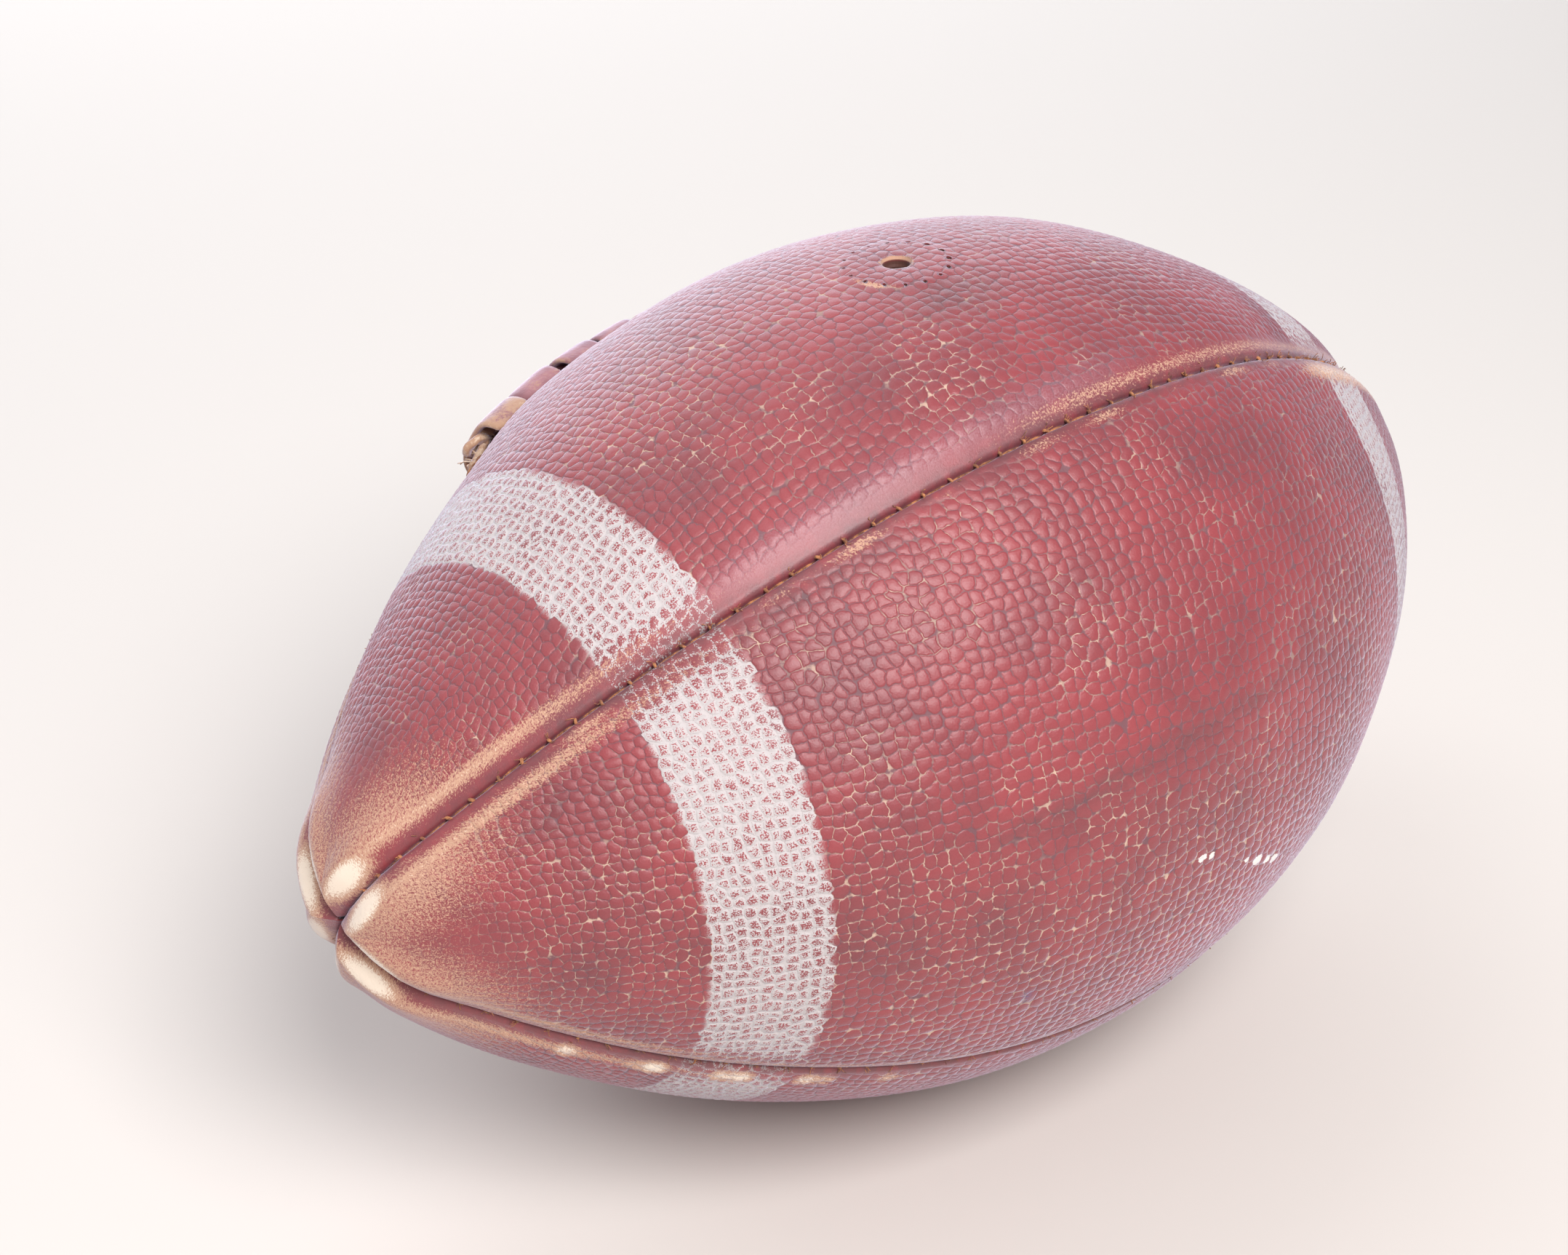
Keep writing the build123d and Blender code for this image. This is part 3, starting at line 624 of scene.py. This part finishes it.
class Shape:
    """Gathers straps and threads, each a closed tube of its own, into one mesh."""

    def __init__(self):
        self.points, self.faces, self.worn, self.count = [], [], [], 0

    def strap(self, path, ups, widths, thicks, sides=14, square=0.55, worn=0.0):
        """A rounded flat strap along a path. The ups give its flat side at each point."""
        path, ups = np.asarray(path, float), unit(np.asarray(ups, float))
        heading = unit(np.gradient(path, axis=0))
        across = unit(np.cross(heading, ups))
        ups = unit(np.cross(across, heading))
        angle = np.linspace(0, 2 * math.pi, sides, endpoint=False)
        wide = np.sign(np.cos(angle)) * np.abs(np.cos(angle)) ** square
        high = np.sign(np.sin(angle)) * np.abs(np.sin(angle)) ** square
        widths, thicks = np.broadcast_to(widths, len(path)), np.broadcast_to(thicks, len(path))
        rings = path[:, None] + across[:, None] * (wide[None, :, None] * widths[:, None, None] / 2)
        rings = rings + ups[:, None] * (high[None, :, None] * thicks[:, None, None] / 2)
        rows = len(path)
        corner = self.count + np.arange(rows * sides).reshape(rows, sides)
        nxt = np.roll(corner, -1, axis=1)
        quads = np.stack([corner[:-1], corner[1:], nxt[1:], nxt[:-1]], axis=-1).reshape(-1, 4)
        self.faces += quads.tolist() + [corner[0].tolist(), corner[-1][::-1].tolist()]
        self.points.append(rings.reshape(-1, 3))
        rubbed = np.broadcast_to(worn, rows)[:, None] + 0.25 * np.abs(wide)[None, :] ** 6
        self.worn.append(rubbed.ravel())
        self.count += rows * sides

    def thread(self, path, radius):
        """A round thread with ends that taper a little."""
        path = smooth_path(path)
        radius = radius * (1 - 0.35 * np.abs(np.linspace(-1, 1, len(path))) ** 6)
        side = np.cross(np.gradient(path, axis=0), (0.31, 0.22, 0.93))
        self.strap(path, side, 2 * radius, 2 * radius, sides=8, square=1.0)

    def mesh(self, name):
        mesh = bpy.data.meshes.new(name)
        points = np.concatenate(self.points)
        mesh.from_pydata((points * MM).tolist(), [], self.faces)
        store(mesh, "worn", np.concatenate(self.worn))
        return mesh


def beside_seam(seam, along, across, height):
    """A point near a seam: distance along it, distance across it and height above the ball."""
    along, across, height = np.broadcast_arrays(np.asarray(along, float), across, height)
    turn = math.radians(seam) + across / meridian(along)[1]
    if seam == LACE_SEAM:
        height = height + lace_swell(along, np.abs(across))
    return on_ball(along, turn, -height)


def thread_material():
    """Waxed orange-tan thread, darkened by dirt, with twisted strands."""
    material, g, shader = new_material("waxed thread", Roughness=0.75, Sheen_Weight=0.15)
    spot = g.add("ShaderNodeTexCoord").outputs["Object"]
    shade = g.noise(spot, 900.0, 3.0)
    colour = g.mix(g.rise(shade, 0.3, 0.7), (0.13, 0.045, 0.022), (0.50, 0.20, 0.075))
    g.tree.links.new(colour, shader.inputs["Base Color"])
    strands = g.add("ShaderNodeTexWave", {"Vector": spot, "Scale": 900.0, "Distortion": 2.0}).outputs["Fac"]
    bump = g.add("ShaderNodeBump", {"Height": strands, "Strength": 0.5, "Distance": 0.1 * MM})
    g.tree.links.new(bump.outputs[0], shader.inputs["Normal"])
    return material


def lace_material():
    """Old lace leather: red-brown, rubbed tan along its edges and crowns, with fine creases."""
    tint = {"Sheen_Weight": 1.0, "Sheen_Roughness": 0.4, "Sheen_Tint": (0.85, 0.80, 1.0, 1.0)}
    material, g, shader = new_material("lace leather", Roughness=0.7, **tint)
    spot = g.add("ShaderNodeTexCoord").outputs["Object"]
    worn = g.named("worn")
    coarse, fine = g.noise(spot, 160.0, 3.0), g.noise(spot, 1400.0, 4.0, 0.65)
    rub = g.math("ADD", worn, g.math("MULTIPLY", g.math("SUBTRACT", fine, 0.5), 1.0))
    rub = g.math("ADD", rub, g.math("MULTIPLY", g.math("SUBTRACT", coarse, 0.5), 1.2))
    colour = g.mix(g.rise(coarse, 0.3, 0.7), (0.24, 0.095, 0.110), (0.38, 0.165, 0.180))
    colour = g.mix(g.rise(rub, 0.25, 0.62), colour, (0.46, 0.27, 0.17))
    colour = g.mix(g.rise(rub, 0.75, 1.05), colour, (0.66, 0.50, 0.36))
    g.tree.links.new(colour, shader.inputs["Base Color"])
    creases = g.math("ADD", g.math("MULTIPLY", fine, 0.5), g.noise(spot, 500.0, 2.0))
    bump = g.add("ShaderNodeBump", {"Height": creases, "Strength": 0.7, "Distance": 0.25 * MM})
    g.tree.links.new(bump.outputs[0], shader.inputs["Normal"])
    return material


def sew_seam(name, node, seam, start, end, material):
    """The stitches that show in a seam: a short thread across it at each stitch, and a little fuzz."""
    shape = Shape()
    first = math.ceil(start / STITCH_STEP)
    for k in range(first, math.floor(end / STITCH_STEP) + 1):
        along = k * STITCH_STEP + chance.uniform(-0.35, 0.35)
        if abs(along) > OUTLINE_END - BARE_TIP:
            continue
        slant, sink = chance.uniform(-0.5, 0.9), 1.15 + 1.5 * float(rise(abs(along), 100, 160))
        reach = chance.uniform(0.40, 0.65)
        rim = [(reach, -sink - 0.25), (reach + 0.4, -sink - 1.3)]
        route = [(-x, h) for x, h in rim[::-1]] + [(0.0, -sink + 0.15)] + rim
        points = [beside_seam(seam, along + slant * x, x, h) for x, h in route]
        shape.thread(points, chance.uniform(0.24, 0.34))
        for _ in range(int(chance.integers(2, 6))):
            x, lean = chance.uniform(-0.8, 0.8), chance.uniform(-1.3, 1.3)
            low = beside_seam(seam, along, x, -sink)
            high = beside_seam(seam, along + lean, x * 1.8, -sink + chance.uniform(0.5, 1.3))
            middle = (low + high) / 2 + chance.normal(0, 0.2, 3)
            shape.thread([low, middle, high], 0.07)
    run = np.arange(max(start, BARE_TIP - OUTLINE_END), min(end, OUTLINE_END - BARE_TIP), STITCH_STEP / 4)
    deep = 2.4 + 1.2 * rise(np.abs(run), 100, 160) + 0.25 * np.cos(2 * math.pi * run / STITCH_STEP)
    shape.thread(beside_seam(seam, run, 0.1 * np.sin(run), -deep), 0.35)
    piece = new_piece(name, shape.mesh(name), material, "seam_thread", node)
    piece.data.shade_smooth()


def lace_ball(material):
    """The lacing: a doubled strip along the seam and ten cross laces that go down through their holes."""
    shape = Shape()
    reach = LACE_STATIONS[-1] + 3.6
    run = np.linspace(-reach, reach, 260)
    pinch = sum(bell(run - s, 3.2) for s in LACE_STATIONS)
    fray = rise(-run, reach - 9, reach)
    for side, lift in ((-1, 0.0), (1, 0.25)):
        sway = 0.4 * np.sin(run / 7.0 + side) + side * 1.35
        height = 1.55 + lift + 1.35 * (1 - np.minimum(pinch, 1))
        height = height + 0.25 * np.sin(run / 4.3 + 2 * side) + 0.3 * fray
        path = beside_seam(LACE_SEAM, run, sway, height)
        ups = beside_seam(LACE_SEAM, run, sway + 0.35 * side * np.sin(run / 9), height + 1) - path
        width = 2.9 + 0.35 * np.sin(run / 5.0 + side) - 0.9 * fray
        shape.strap(path, ups, width, 1.7 + 0.4 * fray, worn=0.02 + 0.6 * fray + 0.10 * np.sin(run / 6))
    for number, along in enumerate(LACE_STATIONS):
        skew, bow = chance.uniform(-1.1, 1.1), chance.uniform(-0.3, 0.3)
        across = LACE_OFFSET * np.sin(np.linspace(-math.pi / 2, math.pi / 2, 41)[1:-1])
        height = (3.6 + bow) * (1 - np.abs(across / LACE_OFFSET) ** 4.5)
        down = [LACE_OFFSET] * len(LACE_LEG)
        across = np.concatenate([np.negative(down), across, down])
        height = np.concatenate([LACE_LEG, height, LACE_LEG[::-1]])
        share = across / LACE_OFFSET
        place = along + skew * share + 0.3 * np.sin(3 * share + number)
        path = beside_seam(LACE_SEAM, place, across, height)
        outward = beside_seam(LACE_SEAM, place, across * 1.0001, height + 1) - path
        sideways = unit(np.cross(outward, np.gradient(path, axis=0)))
        ups = np.cross(np.gradient(path, axis=0), sideways)
        leg = rise(-height, -0.8, 1.6)
        width = (10.2 + chance.uniform(-0.6, 0.6)) * (1 - leg) + LACE_LEG_WIDTH * leg
        near = float(rise(-along, 44, 58))
        rub = 0.02 + 0.36 * near + 0.15 * np.abs(share) ** 3 + chance.uniform(-0.08, 0.10)
        shape.strap(path, ups, width, 1.4 + 1.3 * leg, worn=rub)
    knot_lace(shape, -reach)
    piece = new_piece("laces", shape.mesh("laces"), material, "lace_leather", "lace")
    piece.data.shade_smooth()


def knot_lace(shape, end):
    """The small knot at one end of the lacing, with its frayed fibres."""
    path = smooth_path([beside_seam(LACE_SEAM, end + x, y, h) for x, y, h in KNOT])
    out = beside_seam(LACE_SEAM, end, 0, 1) - beside_seam(LACE_SEAM, end, 0, 0)
    twist = 0.25 * np.sin(np.arange(len(path)))[:, None]
    shape.strap(path, out + twist, 2.5, 1.7, worn=0.62)
    for _ in range(FRAYED_ENDS):
        x, y = chance.uniform(-4.5, 5.0), chance.uniform(-2.4, 2.4)
        low = beside_seam(LACE_SEAM, end + x, y, 1.0)
        high = beside_seam(LACE_SEAM, end + x + chance.uniform(-2.5, 1.0), y * 1.5, chance.uniform(1.6, 4.2))
        path = smooth_path([low, (low + high) / 2 + chance.normal(0, 0.3, 3), high])
        shape.strap(path, np.broadcast_to(out, path.shape), 0.45, 0.22, sides=6, worn=0.85)


def bar_tack(name, node, way, material):
    """Three heavy threads that close the seam past the end of the lacing."""
    shape = Shape()
    for along in TACKS:
        x = way * along + chance.uniform(-0.2, 0.2)
        route = [(x + 0.1 * y, y, h - 0.4 * float(bell(y, 1.6))) for y, h in TACK_ROUTE]
        shape.thread([beside_seam(LACE_SEAM, *place) for place in route], TACK_RADIUS)
    piece = new_piece(name, shape.mesh(name), material, "seam_thread", node)
    piece.data.shade_smooth()


def punch(piece, holes):
    """Cuts round holes in a panel. Each hole is (turn in degrees, along, across, radius, depth)."""
    shape = Shape()
    for turn, along, across, radius, depth in holes:
        heights = np.linspace(-depth, 1.6, 12)
        path = beside_seam(turn, np.full(len(heights), along), across, heights)
        side = beside_seam(turn, along + 1, across, 0) - beside_seam(turn, along, across, 0)
        side = np.broadcast_to(side, path.shape)
        flare = radius * (1 + 0.10 * rise(heights, -1.2, 0.4) + 0.03 * np.sin(4 * heights))
        shape.strap(path, side, 2 * flare, 2 * flare, sides=28, square=1.0)
    mesh = shape.mesh("punch")
    store(mesh, "lines", np.zeros(len(mesh.vertices)))
    cutter = bpy.data.objects.new("punch", mesh)
    bpy.context.scene.collection.objects.link(cutter)
    cut = piece.modifiers.new("holes", "BOOLEAN")
    cut.operation, cut.solver, cut.object = "DIFFERENCE", "MANIFOLD", cutter
    apply_modifiers(piece)
    bpy.data.objects.remove(cutter)
    bpy.data.meshes.remove(mesh)
    colour_holes(piece.data, holes)


def colour_holes(mesh, holes):
    """Suede-coloured lips on the holes' walls, painted shade further in and across each hole's mouth."""
    points = np.zeros(len(mesh.vertices) * 3, np.float32)
    mesh.vertices.foreach_get("co", points)
    points = points.reshape(-1, 3) / MM
    labels = ("wear", "raw_and_shade", "stain_and_shade")
    values = {label: np.zeros(len(points), np.float32) for label in labels}
    for label in labels:
        mesh.attributes[label].data.foreach_get("value", values[label])
    for turn, along, across, radius, depth in holes:
        foot = beside_seam(turn, along, across, 0)
        axis = unit(beside_seam(turn, along, across, 1) - foot)
        height = (points - foot) @ axis
        away = np.linalg.norm(points - foot - height[:, None] * axis, axis=1)
        lip = (away < radius * 1.14) & (np.abs(height) < depth + 1)
        if not lip.any():
            continue
        # painted shade: dark deeper down each hole's wall and all across its mouth
        dark = rise(height[lip].max() - height, 0.25 * radius, 0.42 * radius)
        dark = np.where(away < 0.97 * radius, 1.0, dark)
        values["wear"][lip] = (0.70 * (1 - dark))[lip] * min(radius / 2, 1)
        values["raw_and_shade"][lip] = dark[lip]
        values["stain_and_shade"][lip] = 0
    for label in labels:
        mesh.attributes[label].data.foreach_set("value", values[label])


def lace_holes(side):
    """The holes that the cross laces go down through, on one side of the slit."""
    return [(LACE_SEAM, along, side * LACE_OFFSET, LACE_HOLE, HOLE_DEPTH) for along in LACE_STATIONS]


def valve_holes():
    """The needle's hole and the small holes of the ring that sewed the valve patch on."""
    holes = [(VALVE_TURN, VALVE_ALONG, 0.0, VALVE_HOLE, HOLE_DEPTH)]
    for k in range(RING_HOLES):
        angle = 2 * math.pi * (k + 0.5) / RING_HOLES
        along, across = VALVE_ALONG + VALVE_RING * math.cos(angle), VALVE_RING * math.sin(angle)
        radius = 0.30 + 0.26 * max(math.cos(angle), 0) ** 2
        holes.append((VALVE_TURN, along, across, radius, RING_HOLE_DEPTH))
    return holes


punch(panels["top"], lace_holes(1) + valve_holes())
punch(panels["rear"], lace_holes(-1))
thread, lace_leather = thread_material(), lace_material()
SEWN = (  # piece, CAD node, seam, and from where to where it is sewn
    ("stitches_top_front", "seam_thread_top_front", TOP_FRONT_SEAM, -OUTLINE_END, OUTLINE_END),
    ("stitches_front_bottom", "seam_thread_front_bottom", TOP_FRONT_SEAM + 90, -OUTLINE_END, OUTLINE_END),
    ("stitches_bottom_rear", "seam_thread_bottom_rear", TOP_FRONT_SEAM + 180, -OUTLINE_END, OUTLINE_END),
    ("stitches_lace_seam_near", "seam_thread_lace_seam_near", LACE_SEAM, -OUTLINE_END, -LACE_THREAD_START),
    ("stitches_lace_seam_far", "seam_thread_lace_seam_far", LACE_SEAM, LACE_THREAD_START, OUTLINE_END),
)
for name, node, seam, start, end in SEWN:
    sew_seam(name, node, seam, start, end, thread)
lace_ball(lace_leather)
bar_tack("tack_near", "bar_tack_near", -1, thread)
bar_tack("tack_far", "bar_tack_far", 1, thread)


# ---------------------------------------------------------------- the parts inside keep their CAD shapes
def inner_material(name, dark, pale, scale, weave=0.0, **sockets):
    """A plain working material: two shades, fine relief and, for cloth, a woven texture."""
    material, g, shader = new_material(name, **sockets)
    spot = g.add("ShaderNodeTexCoord").outputs["Object"]
    shade = g.noise(spot, scale, 4.0)
    colour = g.mix(g.rise(shade, 0.35, 0.65), dark, pale)
    height = g.noise(spot, scale * 6, 3.0)
    if weave:
        warp = g.add("ShaderNodeTexWave", {"Vector": spot, "Scale": weave}, bands_direction="X").outputs["Fac"]
        weft = g.add("ShaderNodeTexWave", {"Vector": spot, "Scale": weave}, bands_direction="Y").outputs["Fac"]
        cross = g.math("MULTIPLY", warp, weft)
        colour = g.mix(g.math("MULTIPLY", cross, 0.5), colour, pale)
        height = g.math("ADD", height, g.math("MULTIPLY", cross, 2.0))
    g.tree.links.new(colour, shader.inputs["Base Color"])
    bump = g.add("ShaderNodeBump", {"Height": height, "Strength": 0.5, "Distance": 0.2 * MM})
    g.tree.links.new(bump.outputs[0], shader.inputs["Normal"])
    return material


CANVAS, CANVAS_PALE = (0.30, 0.24, 0.17), (0.46, 0.39, 0.29)
HIDE, HIDE_PALE = (0.16, 0.075, 0.045), (0.30, 0.16, 0.10)
RUBBER, RUBBER_PALE = (0.012, 0.011, 0.011), (0.030, 0.027, 0.026)
VALVE, VALVE_PALE = (0.006, 0.005, 0.005), (0.016, 0.013, 0.012)
cloth = inner_material("lining cloth", CANVAS, CANVAS_PALE, scale=60.0, weave=420.0, Roughness=0.9)
facing = inner_material("facing leather", HIDE, HIDE_PALE, scale=180.0, Roughness=0.75)
black_rubber = inner_material("bladder rubber", RUBBER, RUBBER_PALE, scale=90.0, Roughness=0.6)
valve_rubber = inner_material("valve rubber", VALVE, VALVE_PALE, scale=300.0, Roughness=0.9)
INNER = {
    cloth: ["lining_top", "lining_front", "lining_bottom", "lining_rear"],
    facing: ["lace_facing_top", "lace_facing_rear", "lace_tongue", "valve_patch"],
    black_rubber: ["bladder"],
    valve_rubber: ["valve_body", "valve_core"],
    thread: ["valve_patch_stitching"],
}
for material, nodes in INNER.items():
    for node in nodes:
        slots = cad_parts[node].data.materials
        slots.clear()
        slots.append(material)

# ---------------------------------------------------------------- camera, floor and lights
CAMERA_AZIMUTH, CAMERA_ELEVATION = math.radians(-41.5), math.radians(31.7)
CAMERA_ROLL = math.radians(0.3)
CAMERA_DISTANCE, CAMERA_RIGHT, CAMERA_UP = 0.5405, -0.02533, 0.00407
LENS, SENSOR = 60.67, 36.0
FLOOR_REACH, FLOOR_COLOUR = 4.0, (0.68, 0.64, 0.60, 1.0)
SKY_COLOUR, SKY_STRENGTH = (0.93, 0.95, 1.0, 1.0), 0.34


def place_camera():
    """Stands the camera in front of the ball, above it and to its left, and gives back its three directions."""
    back = Vector((
        math.sin(CAMERA_AZIMUTH) * math.cos(CAMERA_ELEVATION),
        -math.cos(CAMERA_AZIMUTH) * math.cos(CAMERA_ELEVATION),
        math.sin(CAMERA_ELEVATION),
    ))
    right = Vector((0, 0, 1)).cross(back).normalized()
    up = back.cross(right)
    right, up = (
        right * math.cos(CAMERA_ROLL) + up * math.sin(CAMERA_ROLL),
        up * math.cos(CAMERA_ROLL) - right * math.sin(CAMERA_ROLL),
    )
    camera = bpy.data.objects.new("camera", bpy.data.cameras.new("camera"))
    bpy.context.scene.collection.objects.link(camera)
    centre = Vector((0, 0, AXIS_HEIGHT * MM))
    place = centre + right * CAMERA_RIGHT + up * CAMERA_UP + back * CAMERA_DISTANCE
    turn = Matrix((right, up, back)).transposed().to_4x4()
    camera.matrix_world = Matrix.Translation(place) @ turn
    camera.data.lens, camera.data.sensor_width = LENS, SENSOR
    camera.data.clip_start = 0.01
    bpy.context.scene.camera = camera
    return right, up, back


def add_light(name, direction, distance, size, power, colour):
    """A soft square light that looks at the ball."""
    light = bpy.data.lights.new(name, "AREA")
    light.size, light.energy, light.color = size, power, colour
    lamp = bpy.data.objects.new(name, light)
    bpy.context.scene.collection.objects.link(lamp)
    lamp.location = Vector((0, 0, AXIS_HEIGHT * MM)) + direction.normalized() * distance
    lamp.rotation_euler = direction.to_track_quat("Z", "Y").to_euler()


def make_floor():
    """A plain pale floor."""
    mesh = bpy.data.meshes.new("floor")
    corners = [(x * FLOOR_REACH, y * FLOOR_REACH, 0) for x, y in ((-1, -1), (1, -1), (1, 1), (-1, 1))]
    mesh.from_pydata(corners, [], [(0, 1, 2, 3)])
    floor = bpy.data.objects.new("floor", mesh)
    bpy.context.scene.collection.objects.link(floor)
    material, _, _ = new_material("floor", Base_Color=FLOOR_COLOUR, Roughness=0.8)
    mesh.materials.append(material)


right, up, back = place_camera()
make_floor()
world = bpy.data.worlds.new("studio")
world.use_nodes = True
world.node_tree.nodes["Background"].inputs["Color"].default_value = SKY_COLOUR
world.node_tree.nodes["Background"].inputs["Strength"].default_value = SKY_STRENGTH
bpy.context.scene.world = world
key, top = back * 0.90 + up * 0.32 + right * 0.27, back * 0.20 + up * 0.90 - right * 0.35
left, rim = up * 0.35 + back * 0.35 - right * 0.95, up * 0.60 - back * 0.80 - right * 0.25
add_light("key", key, distance=1.2, size=0.60, power=17.5, colour=(1.0, 0.98, 0.98))
add_light("top", top, distance=1.2, size=0.8, power=2.8, colour=(0.97, 0.97, 1.0))
add_light("left", left, distance=1.3, size=1.2, power=2.8, colour=(0.98, 0.97, 1.0))
add_light("rim", rim, distance=1.2, size=1.6, power=21.0, colour=(0.90, 0.93, 1.0))
bpy.context.scene.view_settings.view_transform = "Standard"
